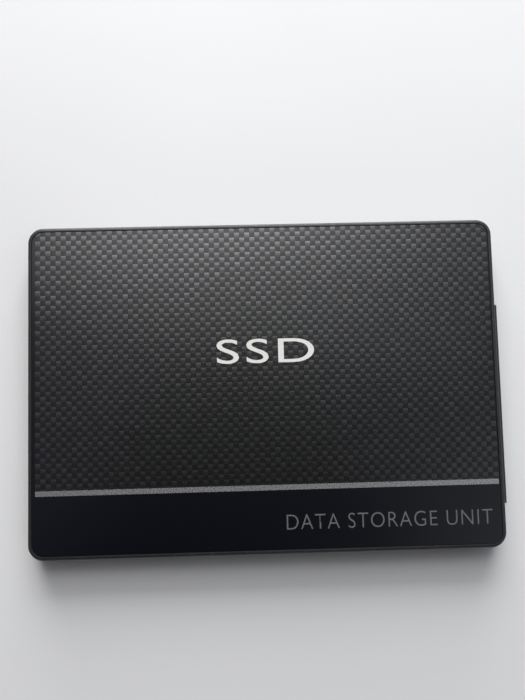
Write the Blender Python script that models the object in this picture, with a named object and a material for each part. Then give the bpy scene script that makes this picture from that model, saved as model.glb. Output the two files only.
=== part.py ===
"""Solid state drive: 2.5-inch form factor, 7 mm high, with a moulded case and a clip-on cover.

Sizes are in millimetres and are turned to metres where a mesh is made. +X points to the connector
end and +Z to the printed face. The origin is at the middle of the underside.
"""

import math

import bpy

MM = 0.001

# Outside of the drive
LENGTH = 100.4
WIDTH = 69.85
HEIGHT = 7.0
CORNER_RADIUS = 3.2
CORNER_STEPS = 10
CONNECTOR_PROUD = 0.7
CASE_BACK = -LENGTH / 2
CASE_FRONT = LENGTH / 2 - CONNECTOR_PROUD
SIDE = WIDTH / 2

# Moulded case
WALL = 1.2
FLOOR_TOP = 1.0
FOOT_CHAMFER = 0.35
BASE_TOP = 5.3
COVER_BOTTOM = 5.5
COVER_UNDERSIDE = 5.8
RIM_RADIUS = 0.6
RIM_STEPS = 5
FILM_MARGIN = 0.78
FILM_FLOOR = 6.55
INNER_SIDE = SIDE - WALL
INNER_BACK = CASE_BACK + WALL
INNER_FRONT = CASE_FRONT - WALL
FIT = 0.3  # clearance between moulded pieces
BOND = 0.1  # thickness of glue or solder between two pieces
ROOT = 0.1  # how far a rib or a boss runs into the wall it grows from

# Printed film and back label
FILM_THICK = 0.2
FILM_FIT = 0.12
LABEL_BACK, LABEL_FRONT, LABEL_SIDE = -43.0, 30.0, 24.0
LABEL_RECESS = 0.25
LABEL_THICK = 0.15
LABEL_FIT = 0.3
LABEL_RADIUS = 1.5

# Spring hooks of the cover, in open slots of the base
HOOK_WIDTH = 6.0
SLOT_DEPTH = 0.6
SLOT_FLOOR = 2.0
LONG_SIDE_HOOKS = (-25.0, 0.0, 22.0)
BACK_END_HOOKS = (-15.0, 15.0)
LIP_INNER, LIP_OUTER = 1.1, 0.3
LIP_BOTTOM = 4.8

# Standard fixing holes, M3, four under the drive and four in its long sides
HOLES_FRONT = LENGTH / 2 - 14.0 - CONNECTOR_PROUD
HOLES_BACK = HOLES_FRONT - 76.6
HOLES_Y = SIDE - 4.07
SIDE_HOLE_Z = 3.0
THREAD_RADIUS = 1.25
ACCESS_RADIUS = 1.75
THREAD_BLOCK = (6.0, 5.2, 3.2)
THREAD_BLOCK_Y = INNER_SIDE - FIT - THREAD_BLOCK[1] / 2
THREAD_BLOCK_BOTTOM = 1.3

# Circuit board
BOARD_BACK, BOARD_STEP, BOARD_FRONT = -8.0, 31.0, 42.0
BOARD_SIDE, BOARD_NARROW_SIDE = 30.5, 26.8
BOARD_BOTTOM, BOARD_TOP = 1.7, 2.5
BOARD_SCREWS = ((-5.2, -27.3), (-5.2, 27.3), (36.0, -23.9), (36.0, 23.9))
BOARD_GAP = 0.15  # between the board and what it rests on
SCREW_RADIUS = 0.7
SCREW_HEAD, SCREW_HEAD_RADIUS = 0.7, 1.6
SCREW_TIP = 0.5
BOSS_RADIUS = 2.1

# Serial connector: data tongue towards -Y, power tongue towards +Y
CONNECTOR_Y = -4.8
CONNECTOR_HALF = 21.15
CONNECTOR_REAR, CONNECTOR_WALL = 40.9, 44.2
CONNECTOR_FACE = LENGTH / 2
CONNECTOR_TOP, CONNECTOR_ROOF = 5.6, 4.95
CONNECTOR_LOW = 1.2
ARM_WIDTH = 1.9
TONGUE_MIDDLE, TONGUE_THICK = 3.5, 1.23
TONGUE_BOTTOM = TONGUE_MIDDLE - TONGUE_THICK / 2
TONGUE_TOP = TONGUE_MIDDLE + TONGUE_THICK / 2
TONGUE_TIP = 49.9
TONGUE_OUTER = 16.695
DATA_TONGUE, POWER_TONGUE = 10.41, 20.57
KEY_WIDTH, KEY_BOTTOM = 1.0, 1.75
CONTACT_PITCH = 1.27
CONTACT_BOTTOM, CONTACT_TOP = 2.6, 2.78
CONTACT_WIDTH, TAIL_WIDTH, CONTACT_SLOT = 0.84, 0.5, 1.0
CONTACT_TAIL = 39.4
FIRST_CONTACT = 15.875
LONG_TIP, SHORT_TIP = 49.3, 48.8
LONG_DATA, LONG_POWER = (0, 3, 6), (2, 3, 4, 5, 6, 9, 11, 12)

# Parts on the board: length, width and height, and where they stand
MEMORY = (18.0, 12.0, 1.0)
MEMORY_X, MEMORY_PITCH = 7.0, 13.4
CONTROLLER, CONTROLLER_AT = (14.0, 14.0, 0.9), (27.0, -9.0, 0)
POWER_CHIP, POWER_CHIP_AT = (5.0, 5.0, 0.8), (26.0, 8.5, 0)
LOAD_SWITCH, LOAD_SWITCH_AT = (3.0, 3.0, 0.8), (34.0, 6.0, 0)
INDUCTOR_SIDE, INDUCTOR_HEIGHT = 4.0, 1.5
INDUCTORS_AT = ((21.0, 15.0), (27.0, 15.0), (21.0, 21.0))
BULK_CAPACITOR = (3.5, 2.8, 1.6)
BULK_CAPACITORS_AT = ((27.5, 20.5), (27.5, 24.5), (33.0, 12.0), (33.0, 16.0))
SURGE_DIODE, SURGE_DIODES_AT = (1.7, 2.6, 0.9), ((37.0, 2.0), (37.0, 6.0))
FUSE, FUSE_AT = (2.0, 1.25, 0.6), (37.3, 10.5, 0)
CRYSTAL, CRYSTAL_AT = (3.2, 2.5, 0.7), (29.5, -20.5, 0)
CHIP_BEVEL = 0.08

# How far a cutting shape runs past the faces that it cuts
PAST = 1.0


# Outlines and solids -----------------------------------------------------------------------------


def rounded_outline(x0, x1, y0, y1, radius, steps=CORNER_STEPS):
    """Points of a rounded rectangle, anticlockwise from its +X side."""
    corners = (
        (x1 - radius, y1 - radius, 0),
        (x0 + radius, y1 - radius, 90),
        (x0 + radius, y0 + radius, 180),
        (x1 - radius, y0 + radius, 270),
    )
    points = []
    for x, y, start in corners:
        for step in range(steps + 1):
            angle = math.radians(start + 90 * step / steps)
            points.append((x + radius * math.cos(angle), y + radius * math.sin(angle)))
    return points


def case_outline(inset):
    """The case's outline, drawn in by inset."""
    return rounded_outline(
        CASE_BACK + inset, CASE_FRONT - inset, -SIDE + inset, SIDE - inset, CORNER_RADIUS - inset
    )


def circle(x, y, radius, steps=20):
    """Points of a circle, anticlockwise."""
    turns = [2 * math.pi * step / steps for step in range(steps)]
    return [(x + radius * math.cos(turn), y + radius * math.sin(turn)) for turn in turns]


def loft(rings):
    """Closed solid through rings of (outline, z), with a flat cap on the first and the last."""
    count = len(rings[0][0])
    points = [(x, y, z) for outline, z in rings for x, y in outline]
    faces = [tuple(reversed(range(count)))]
    for low in range(0, (len(rings) - 1) * count, count):
        for i in range(count):
            j = (i + 1) % count
            faces.append((low + i, low + j, low + count + j, low + count + i))
    faces.append(tuple(range(len(points) - count, len(points))))
    return points, faces


def prism(outline, z0, z1):
    """Upright solid on an outline."""
    return loft([(outline, z0), (outline, z1)])


def block(x0, x1, y0, y1, z0, z1):
    """Box between two corners."""
    return prism([(x1, y1), (x0, y1), (x0, y0), (x1, y0)], z0, z1)


def centred_block(size):
    """Box that stands on the middle of its underside."""
    length, width, height = size
    return block(-length / 2, length / 2, -width / 2, width / 2, 0, height)


def turned(profile, steps=16):
    """Upright turned solid through (radius, z) pairs."""
    return loft([(circle(0, 0, radius, steps), z) for radius, z in profile])


def along_x(outline, x0, x1):
    """Solid with an outline in Y and Z, anticlockwise seen from +X."""
    points, faces = prism(outline, x0, x1)
    return [(x, y, z) for y, z, x in points], faces


def along_y(outline, y0, y1):
    """Solid with an outline in X and Z, anticlockwise seen from -Y."""
    points, faces = prism(outline, -y1, -y0)
    return [(x, -w, z) for x, z, w in points], faces


def other_side(solid):
    """The same solid on the other side of the drive's middle plane."""
    points, faces = solid
    return [(x, -y, z) for x, y, z in points], [tuple(reversed(face)) for face in faces]


def both_sides(solids):
    """The solids and their mirror images."""
    return solids + [other_side(solid) for solid in solids]


# Objects and materials ---------------------------------------------------------------------------


def clear_scene():
    """Removes whatever the open file holds."""
    for ob in list(bpy.data.objects):
        bpy.data.objects.remove(ob, do_unlink=True)


def linear(hex_colour):
    """A six-digit sRGB colour as linear RGBA."""
    channels = [int(hex_colour[i : i + 2], 16) / 255 for i in (0, 2, 4)]
    return [c / 12.92 if c <= 0.04045 else ((c + 0.055) / 1.055) ** 2.4 for c in channels] + [1]


def plain_material(name, hex_colour, roughness, metallic=0.0):
    """A Principled material with one colour."""
    material = bpy.data.materials.new(name)
    material.use_nodes = True
    shader = material.node_tree.nodes["Principled BSDF"]
    shader.inputs["Base Color"].default_value = linear(hex_colour)
    shader.inputs["Roughness"].default_value = roughness
    shader.inputs["Metallic"].default_value = metallic
    return material


def new_mesh(name, solids):
    """One mesh of closed solids, in metres."""
    points, faces = [], []
    for solid_points, solid_faces in solids:
        first = len(points)
        points += [tuple(value * MM for value in point) for point in solid_points]
        faces += [tuple(first + i for i in face) for face in solid_faces]
    mesh = bpy.data.meshes.new(name)
    mesh.from_pydata(points, [], faces)
    mesh.shade_smooth()
    mesh.set_sharp_from_angle(angle=math.radians(35))
    return mesh


def new_object(name, mesh, at):
    """An object that shows a mesh at a place, given in millimetres."""
    ob = bpy.data.objects.new(name, mesh)
    ob.location = [value * MM for value in at]
    bpy.context.scene.collection.objects.link(ob)
    return ob


def place(name, mesh, parent, material, at=(0, 0, 0)):
    """A named piece of the drive."""
    ob = new_object(name, mesh, at)
    ob.parent = parent
    if not mesh.materials:
        mesh.materials.append(material)
    return ob


def add_piece(name, solid, parent, material, at=(0, 0, 0)):
    """A named piece with a mesh of its own."""
    return place(name, new_mesh(name, [solid]), parent, material, at)


def hidden_tool(name, mesh, at=(0, 0, 0)):
    """Shape that a Boolean adds or cuts, kept out of the model itself."""
    ob = new_object(name, mesh, at)
    ob.hide_render = True
    ob.display_type = "WIRE"
    return ob


def hidden_solids(name, solids):
    """Hidden tool with a mesh of its own."""
    return hidden_tool(name, new_mesh(name, solids))


def combine(ob, operation, tool):
    """Adds a Boolean of the tool to the object."""
    modifier = ob.modifiers.new(tool.name, "BOOLEAN")
    modifier.operation = operation
    modifier.solver = "EXACT"
    modifier.use_self = True
    modifier.object = tool


def body_frame(name):
    """Empty on the drive's upright axis that holds the pieces of one body."""
    return new_object(name, None, (0, 0, 0))


# Case --------------------------------------------------------------------------------------------


def hole_places():
    """X and the side of each standard fixing hole."""
    return [(x, side) for x in (HOLES_FRONT, HOLES_BACK) for side in (1, -1)]


def fixing_holes(radius):
    """Bores for the fixing screws, up through the floor and in through the long walls."""
    solids = []
    for x, side in hole_places():
        solids.append(prism(circle(x, side * HOLES_Y, radius), -PAST, SIDE_HOLE_Z))
        y0, y1 = sorted((side * (SIDE + PAST), side * HOLES_Y))
        solids.append(along_y(circle(x, SIDE_HOLE_Z, radius), y0, y1))
    return solids


def hook_solids(wide, profile):
    """The profile, in distance out past the base's inner wall and Z, at each hook's place."""
    solids = []
    for x in LONG_SIDE_HOOKS:
        outline = [(INNER_SIDE + out, z) for out, z in profile]
        solids += both_sides([along_x(outline, x - wide / 2, x + wide / 2)])
    for y in BACK_END_HOOKS:
        outline = [(INNER_BACK - out, z) for out, z in reversed(profile)]
        solids.append(along_y(outline, y - wide / 2, y + wide / 2))
    return solids


def thread_block_pens():
    """Low walls that hold the four thread blocks in the corners of the base."""
    gap, thick, top = 0.25, 0.8, 3.4
    half = THREAD_BLOCK[0] / 2 + gap
    inner = THREAD_BLOCK_Y - THREAD_BLOCK[1] / 2 - gap
    solids = []
    for x in (HOLES_FRONT, HOLES_BACK):
        outline = [
            (x + half + thick, INNER_SIDE + ROOT),
            (x + half, INNER_SIDE + ROOT),
            (x + half, inner),
            (x - half, inner),
            (x - half, INNER_SIDE + ROOT),
            (x - half - thick, INNER_SIDE + ROOT),
            (x - half - thick, inner - thick),
            (x + half + thick, inner - thick),
        ]
        solids.append(prism(outline, FLOOR_TOP - ROOT, top))
    return both_sides(solids)


def floor_ribs():
    """Stiffening ribs across the empty half of the base, and two rests under the board."""
    thick, top = 0.8, 2.0
    back, front, side = INNER_BACK - ROOT, BOARD_BACK - 1.5, INNER_SIDE + ROOT
    solids = [
        block(back, front, y - thick / 2, y + thick / 2, FLOOR_TOP - ROOT, top) for y in (-16, 0, 16)
    ]
    solids += [
        block(x - thick / 2, x + thick / 2, -side, side, FLOOR_TOP - ROOT, top)
        for x in (-34.5, -22.0, front)
    ]
    rest = block(15.0, 18.0, 10.0, 22.0, FLOOR_TOP - ROOT, BOARD_BOTTOM - BOARD_GAP)
    return solids + both_sides([rest])


def end_wall_nibs():
    """Small upright nibs on the connector end, which centre the drive in a bay."""
    nibs = ((-30.6, 1.6, 0.3), (29.4, 1.0, 0.2), (23.4, 1.0, 0.15))
    return [
        block(CASE_FRONT - ROOT, CASE_FRONT + proud, y - wide / 2, y + wide / 2, 1.2, 4.8)
        for y, wide, proud in nibs
    ]


def connector_gap(back, z0, z1):
    """Clear space for the connector in the case's front end."""
    half = CONNECTOR_HALF + FIT
    return block(back, CONNECTOR_FACE + PAST, CONNECTOR_Y - half, CONNECTOR_Y + half, z0, z1)


def build_base_shell(parent):
    """Lower half of the case: a tray with the connector's mouth cut in one end."""
    shell = loft(
        [
            (case_outline(FOOT_CHAMFER), 0.0),
            (case_outline(0.0), FOOT_CHAMFER),
            (case_outline(0.0), BASE_TOP),
            (case_outline(WALL), BASE_TOP),
            (case_outline(WALL), FLOOR_TOP),
        ]
    )
    bosses = [
        prism(circle(x, y, BOSS_RADIUS), FLOOR_TOP - ROOT, BOARD_BOTTOM - BOARD_GAP)
        for x, y in BOARD_SCREWS
    ]
    growths = bosses + thread_block_pens() + floor_ribs() + end_wall_nibs()
    slot_top = BASE_TOP + PAST
    slot = [(-PAST, SLOT_FLOOR), (SLOT_DEPTH, SLOT_FLOOR), (SLOT_DEPTH, slot_top), (-PAST, slot_top)]
    mouth = connector_gap(CONNECTOR_WALL + 0.2, -PAST, BASE_TOP + PAST)
    label_outline = rounded_outline(LABEL_BACK, LABEL_FRONT, -LABEL_SIDE, LABEL_SIDE, LABEL_RADIUS)
    recess = prism(label_outline, -PAST, LABEL_RECESS)
    pilots = [
        prism(circle(x, y, SCREW_RADIUS + BOND, 12), SCREW_TIP - BOND, BOARD_TOP)
        for x, y in BOARD_SCREWS
    ]
    cuts = hook_solids(HOOK_WIDTH + 2 * FIT, slot) + [mouth, recess] + pilots
    material = plain_material("black_case_plastic", "1B1C1F", 0.5)
    base = add_piece("base_shell", shell, parent, material)
    combine(base, "UNION", hidden_solids("base_growths", growths))
    combine(base, "DIFFERENCE", hidden_solids("base_cuts", cuts))
    combine(base, "DIFFERENCE", hidden_solids("access_holes", fixing_holes(ACCESS_RADIUS)))


def cover_lip():
    """Broken lip under the cover that centres it inside the base's walls."""
    low, high = LIP_BOTTOM, COVER_UNDERSIDE + ROOT
    outer, inner = INNER_SIDE - LIP_OUTER, INNER_SIDE - LIP_INNER
    runs = ((-45.0, -29.5), (-20.5, -4.5), (4.5, 17.5), (26.5, 45.0))
    solids = both_sides([block(x0, x1, inner, outer, low, high) for x0, x1 in runs])
    back = INNER_BACK + LIP_OUTER
    wide = LIP_INNER - LIP_OUTER
    end_runs = ((-30.0, -19.5), (-10.5, 10.5), (19.5, 30.0))
    solids += [block(back, back + wide, y0, y1, low, high) for y0, y1 in end_runs]
    front = INNER_FRONT - LIP_OUTER
    solids.append(block(front - wide, front, 18.0, 30.0, low, high))
    return solids


def build_top_cover(parent):
    """Upper half of the case, with a rolled rim round the film's recess."""
    rings = [
        (case_outline(WALL), COVER_UNDERSIDE),
        (case_outline(WALL), COVER_BOTTOM),
        (case_outline(0.0), COVER_BOTTOM),
    ]
    for step in range(RIM_STEPS + 1):
        turn = math.radians(90 * step / RIM_STEPS)
        inset = RIM_RADIUS * (1 - math.cos(turn))
        rings.append((case_outline(inset), HEIGHT - RIM_RADIUS * (1 - math.sin(turn))))
    rings.append((case_outline(FILM_MARGIN), HEIGHT))
    rings.append((case_outline(FILM_MARGIN), FILM_FLOOR))
    hook = [(-1.2, 2.3), (-0.6, 2.3), (0.2, 3.2), (0.2, 3.6), (-0.4, 3.6), (-0.4, 5.9), (-1.2, 5.9)]
    growths = cover_lip() + hook_solids(HOOK_WIDTH, hook)
    mouth = connector_gap(INNER_FRONT - PAST, COVER_BOTTOM - PAST, COVER_UNDERSIDE)
    material = plain_material("black_cover_plastic", "232428", 0.42)
    cover = add_piece("top_cover", loft(rings), parent, material)
    combine(cover, "UNION", hidden_solids("cover_growths", growths))
    combine(cover, "DIFFERENCE", hidden_solids("cover_mouth", [mouth]))


def build_film_and_label(base, cover):
    """Printed skins of the top and the underside, each in its own shallow recess."""
    film_bottom = FILM_FLOOR + BOND
    film = prism(case_outline(FILM_MARGIN + FILM_FIT), film_bottom, film_bottom + FILM_THICK)
    add_piece("front_film", film, cover, plain_material("printed_film", "3A3B3E", 0.35))
    outline = rounded_outline(
        LABEL_BACK + LABEL_FIT,
        LABEL_FRONT - LABEL_FIT,
        -LABEL_SIDE + LABEL_FIT,
        LABEL_SIDE - LABEL_FIT,
        LABEL_RADIUS,
    )
    label_top = LABEL_RECESS - BOND / 2
    label = prism(outline, label_top - LABEL_THICK, label_top)
    add_piece("back_label", label, base, plain_material("label_paper", "C9CBCC", 0.55))


def build_thread_blocks(parent):
    """Four brass blocks with the M3 threads of the fixing holes."""
    brass = plain_material("brass", "B08D4C", 0.35, 1.0)
    threads = hidden_solids("thread_bores", fixing_holes(THREAD_RADIUS))
    ends = {HOLES_FRONT: "front", HOLES_BACK: "rear"}
    solid = centred_block(THREAD_BLOCK)
    for x, side in hole_places():
        name = f"thread_block_{ends[x]}_{'left' if side > 0 else 'right'}"
        at = (x, side * THREAD_BLOCK_Y, THREAD_BLOCK_BOTTOM)
        combine(add_piece(name, solid, parent, brass, at), "DIFFERENCE", threads)


# Connector ---------------------------------------------------------------------------------------


def contact_places():
    """Y of the 7 data contacts and of the 15 power contacts, from -Y to +Y."""
    first = CONNECTOR_Y - FIRST_CONTACT
    data = [first + CONTACT_PITCH * i for i in range(7)]
    last = CONNECTOR_Y + FIRST_CONTACT
    power = [last - CONTACT_PITCH * (14 - i) for i in range(15)]
    return data, power


def build_connector_housing(parent):
    """Moulded plug body: rear wall, roof, two arms, and the two keyed tongues."""
    low_y, high_y = CONNECTOR_Y - CONNECTOR_HALF, CONNECTOR_Y + CONNECTOR_HALF
    inside = CONNECTOR_WALL - ROOT
    section = [
        (CONNECTOR_REAR, CONNECTOR_TOP),
        (CONNECTOR_REAR, TONGUE_BOTTOM),
        (BOARD_FRONT + 0.4, TONGUE_BOTTOM),
        (BOARD_FRONT + 0.4, CONNECTOR_LOW),
        (CONNECTOR_WALL, CONNECTOR_LOW),
        (CONNECTOR_WALL, CONNECTOR_ROOF),
        (CONNECTOR_FACE, CONNECTOR_ROOF),
        (CONNECTOR_FACE, CONNECTOR_TOP),
    ]
    growths = []
    for y0, y1 in ((low_y, low_y + ARM_WIDTH), (high_y - ARM_WIDTH, high_y)):
        growths.append(block(inside, CONNECTOR_FACE, y0, y1, CONNECTOR_LOW, CONNECTOR_ROOF + ROOT))
    data_y = CONNECTOR_Y - TONGUE_OUTER
    power_y = CONNECTOR_Y + TONGUE_OUTER
    for outer, inner in ((data_y, data_y + DATA_TONGUE), (power_y, power_y - POWER_TONGUE)):
        towards_gap = 1 if inner > outer else -1
        key = inner - towards_gap * KEY_WIDTH
        outline = [
            (outer, TONGUE_TOP),
            (outer, TONGUE_BOTTOM),
            (key, TONGUE_BOTTOM),
            (key, KEY_BOTTOM),
            (inner, KEY_BOTTOM),
            (inner, TONGUE_TOP),
        ]
        if towards_gap < 0:
            outline.reverse()
        growths.append(along_x(outline, inside, TONGUE_TIP))
    data, power = contact_places()
    slots = [
        block(
            BOARD_FRONT,
            CONNECTOR_WALL + PAST,
            y - CONTACT_SLOT / 2,
            y + CONTACT_SLOT / 2,
            CONTACT_BOTTOM - BOND,
            CONTACT_TOP + BOND,
        )
        for y in data + power
    ]
    material = plain_material("connector_plastic", "2A2A2B", 0.45)
    housing = add_piece("connector_housing", along_y(section, low_y, high_y), parent, material)
    combine(housing, "UNION", hidden_solids("connector_growths", growths))
    combine(housing, "DIFFERENCE", hidden_solids("contact_slots", slots))


def contact(tip):
    """One flat contact: a blade under the tongue and a narrow tail on the board."""
    blade, tail = CONTACT_WIDTH / 2, TAIL_WIDTH / 2
    neck = CONNECTOR_WALL + 0.3
    outline = [
        (tip, blade),
        (neck, blade),
        (neck, tail),
        (CONTACT_TAIL, tail),
        (CONTACT_TAIL, -tail),
        (neck, -tail),
        (neck, -blade),
        (tip, -blade),
    ]
    return prism(outline, CONTACT_BOTTOM, CONTACT_TOP)


def build_contacts(parent):
    """Gold-plated contacts, each its own piece; the long ones mate first."""
    gold = plain_material("gold_plating", "C9A24A", 0.25, 1.0)
    long_mesh = new_mesh("long_contact", [contact(LONG_TIP)])
    short_mesh = new_mesh("short_contact", [contact(SHORT_TIP)])
    data, power = contact_places()
    for kind, places, long_ones in (("data", data, LONG_DATA), ("power", power, LONG_POWER)):
        for i, y in enumerate(places):
            mesh = long_mesh if i in long_ones else short_mesh
            place(f"{kind}_contact_{i + 1}", mesh, parent, gold, (0, y, 0))


def build_hold_downs(parent):
    """Two bent clips, soldered to the board, that hold the connector's rear wall."""
    foot_length, thick, height = 2.9, 0.25, 1.8
    foot, rear = BOARD_TOP + BOND, CONNECTOR_REAR - BOARD_GAP
    foot_back, top = rear - foot_length, foot + height
    outline = [
        (foot_back, foot),
        (rear, foot),
        (rear, top),
        (rear - thick, top),
        (rear - thick, foot + thick),
        (foot_back, foot + thick),
    ]
    middle, half = CONNECTOR_HALF - 2.2, 1.3
    mesh = new_mesh("connector_clip", [along_y(outline, -half, half)])
    tinned = plain_material("tinned_steel", "A9ACAE", 0.3, 1.0)
    for hand, side in (("left", 1), ("right", -1)):
        place(f"connector_clip_{hand}", mesh, parent, tinned, (0, CONNECTOR_Y + side * middle, 0))


# Circuit board and what is on it -----------------------------------------------------------------


def build_board(parent):
    """Half-length board, stepped in where it passes the front thread blocks."""
    outline = [
        (BOARD_FRONT, BOARD_NARROW_SIDE),
        (BOARD_STEP, BOARD_NARROW_SIDE),
        (BOARD_STEP, BOARD_SIDE),
        (BOARD_BACK, BOARD_SIDE),
        (BOARD_BACK, -BOARD_SIDE),
        (BOARD_STEP, -BOARD_SIDE),
        (BOARD_STEP, -BOARD_NARROW_SIDE),
        (BOARD_FRONT, -BOARD_NARROW_SIDE),
    ]
    solder_mask = plain_material("green_solder_mask", "1E5B3A", 0.4)
    board = add_piece("circuit_board", prism(outline, BOARD_BOTTOM, BOARD_TOP), parent, solder_mask)
    holes = [
        prism(circle(x, y, SCREW_RADIUS + FIT, 16), BOARD_BOTTOM - PAST, BOARD_TOP + PAST)
        for x, y in BOARD_SCREWS
    ]
    combine(board, "DIFFERENCE", hidden_solids("board_holes", holes))


def build_board_screws(parent):
    """Four pan-head screws with a cross recess."""
    head = BOARD_TOP + BOND
    top = head + SCREW_HEAD
    profile = (
        (0.6 * SCREW_RADIUS, SCREW_TIP),
        (SCREW_RADIUS, SCREW_TIP + 0.3),
        (SCREW_RADIUS, head),
        (SCREW_HEAD_RADIUS, head),
        (SCREW_HEAD_RADIUS, head + 0.4 * SCREW_HEAD),
        (0.9 * SCREW_HEAD_RADIUS, head + 0.7 * SCREW_HEAD),
        (0.7 * SCREW_HEAD_RADIUS, head + 0.92 * SCREW_HEAD),
        (0.4 * SCREW_HEAD_RADIUS, top),
    )
    long, short, recess = 0.75, 0.2, 0.35
    outline = []
    for cosine, sine in ((1, 0), (0, 1), (-1, 0), (0, -1)):
        for a, b in ((long, -short), (long, short), (short, short)):
            outline.append((a * cosine - b * sine, a * sine + b * cosine))
    cross = prism(outline, top - recess, top + PAST)
    steel = plain_material("zinc_plated_steel", "B4B7BA", 0.3, 1.0)
    screw_mesh = new_mesh("pan_head_screw", [turned(profile)])
    cross_mesh = new_mesh("screw_cross", [cross])
    for i, (x, y) in enumerate(BOARD_SCREWS):
        screw = place(f"board_screw_{i + 1}", screw_mesh, parent, steel, (x, y, 0))
        combine(screw, "DIFFERENCE", hidden_tool(f"cross_{i + 1}", cross_mesh, (x, y, 0)))


def chip(size):
    """Moulded chip centred on the origin, with its top edges chamfered."""
    length, width, height = size
    low = BOARD_TOP + BOND
    rings = []
    for inset, z in ((0.0, low), (0.0, low + height - CHIP_BEVEL), (CHIP_BEVEL, low + height)):
        x, y = length / 2 - inset, width / 2 - inset
        rings.append(([(x, y), (-x, y), (-x, -y), (x, -y)], z))
    return loft(rings)


def build_chips(parent):
    """Controller, four memory packages and the two power chips."""
    epoxy = plain_material("mould_epoxy", "1A1A1C", 0.55)
    memory = new_mesh("memory_package", [chip(MEMORY)])
    for i in range(4):
        place(f"nand_flash_{i + 1}", memory, parent, epoxy, (MEMORY_X, MEMORY_PITCH * (i - 1.5), 0))
    add_piece("controller_chip", chip(CONTROLLER), parent, epoxy, CONTROLLER_AT)
    add_piece("power_management_chip", chip(POWER_CHIP), parent, epoxy, POWER_CHIP_AT)
    add_piece("load_switch_chip", chip(LOAD_SWITCH), parent, epoxy, LOAD_SWITCH_AT)


def inductor():
    """Square power inductor with rounded corners, centred on the origin."""
    low, bevel, radius = BOARD_TOP + BOND, 0.1, 0.6
    high = low + INDUCTOR_HEIGHT
    rings = []
    for inset, z in ((bevel, low), (0.0, low + bevel), (0.0, high - bevel), (bevel, high)):
        edge = INDUCTOR_SIDE / 2 - inset
        rings.append((rounded_outline(-edge, edge, -edge, edge, radius, 3), z))
    return loft(rings)


def build_row(name, mesh, places, parent, material):
    """Numbered pieces that share a mesh."""
    for i, (x, y) in enumerate(places):
        place(f"{name}_{i + 1}", mesh, parent, material, (x, y, 0))


def build_power_parts(parent):
    """Inductors, bulk capacitors, fuse, surge diodes and the clock crystal."""
    ferrite = plain_material("grey_ferrite", "4A4B4D", 0.6)
    build_row("power_inductor", new_mesh("power_inductor", [inductor()]), INDUCTORS_AT, parent, ferrite)
    tantalum = plain_material("moulded_tantalum", "C98B2B", 0.5)
    bulk = new_mesh("bulk_capacitor", [chip(BULK_CAPACITOR)])
    build_row("bulk_capacitor", bulk, BULK_CAPACITORS_AT, parent, tantalum)
    black = plain_material("diode_epoxy", "202022", 0.5)
    diode = new_mesh("surge_diode", [chip(SURGE_DIODE)])
    build_row("surge_diode", diode, SURGE_DIODES_AT, parent, black)
    add_piece("input_fuse", chip(FUSE), parent, plain_material("fuse_ceramic", "D9D8CF", 0.5), FUSE_AT)
    can = plain_material("crystal_can", "BFC1BE", 0.3, 1.0)
    add_piece("crystal_oscillator", chip(CRYSTAL), parent, can, CRYSTAL_AT)


def build_drive():
    """The whole drive, on two frames: the base and the cover that lifts off it."""
    clear_scene()
    base = body_frame("base_frame")
    cover = body_frame("cover_frame")
    build_base_shell(base)
    build_top_cover(cover)
    build_film_and_label(base, cover)
    build_thread_blocks(base)
    build_connector_housing(base)
    build_contacts(base)
    build_hold_downs(base)
    build_board(base)
    build_board_screws(base)
    build_chips(base)
    build_power_parts(base)


build_drive()
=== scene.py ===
"""Looks of a 2.5-inch solid state drive that lies on a pale table, printed face up.

Sizes are in millimetres unless a comment says metres, and turn to metres where a mesh or the camera
is made. +X points to the connector end, +Y to the left long side and +Z to the printed face.
"""

import math

import bmesh
import bpy
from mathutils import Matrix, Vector


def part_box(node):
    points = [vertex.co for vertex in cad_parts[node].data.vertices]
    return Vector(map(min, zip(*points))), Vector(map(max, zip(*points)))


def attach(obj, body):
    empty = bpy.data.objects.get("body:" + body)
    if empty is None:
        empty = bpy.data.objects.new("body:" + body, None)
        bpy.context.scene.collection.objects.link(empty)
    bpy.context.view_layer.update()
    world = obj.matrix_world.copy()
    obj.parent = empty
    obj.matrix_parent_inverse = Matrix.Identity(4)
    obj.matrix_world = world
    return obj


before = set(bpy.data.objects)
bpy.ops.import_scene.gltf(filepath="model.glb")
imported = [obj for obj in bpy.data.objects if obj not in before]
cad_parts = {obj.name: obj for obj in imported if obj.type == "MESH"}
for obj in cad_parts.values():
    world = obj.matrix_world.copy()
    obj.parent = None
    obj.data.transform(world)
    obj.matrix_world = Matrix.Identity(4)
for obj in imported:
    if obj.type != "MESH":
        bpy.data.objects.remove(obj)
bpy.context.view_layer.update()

MM = 0.001


def box_mm(cad_node):
    """Lowest and highest corner of a CAD node, in millimetres."""
    return [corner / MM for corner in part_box(cad_node)]


def numbered(name, count):
    """Names of pieces that come in a numbered row."""
    return [f"{name}_{i + 1}" for i in range(count)]


NAND_CHIPS = numbered("nand_flash", 4)
CHIPS = NAND_CHIPS + ["controller_chip", "power_management_chip", "load_switch_chip"]
BULK_CAPACITORS = numbered("bulk_capacitor", 4)
INDUCTORS = numbered("power_inductor", 3)
DIODES = numbered("surge_diode", 2)

FILM_TOP = box_mm("front_film")[1].z
BOARD_TOP = box_mm("circuit_board")[1].z

# Printed face: woven print above the stripe, plain black below it
PRINT_BACK, PRINT_FRONT = -48.65, 48.35
STRIPE_LOW, STRIPE_HIGH = -21.78, -20.70
INK_THICK = 0.02
TITLE_BOX = (-10.4, 10.3, 4.9, 10.1)
LINE_BOX = (3.45, 46.65, -30.0, -26.9)

# Woven print: size of one crossing, the middle of a crossing where the bright thread is on top, the
# rise of a thread and of its strands, and a strand's width and the length over which it changes
CROSSING = (1.09, 1.07)
CROSSING_AT = (-0.15, -0.56)
THREAD_CROWN, STRAND_CROWN = 0.006, 0.002
STRAND, STRAND_LONG = 0.27, 2.2

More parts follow.
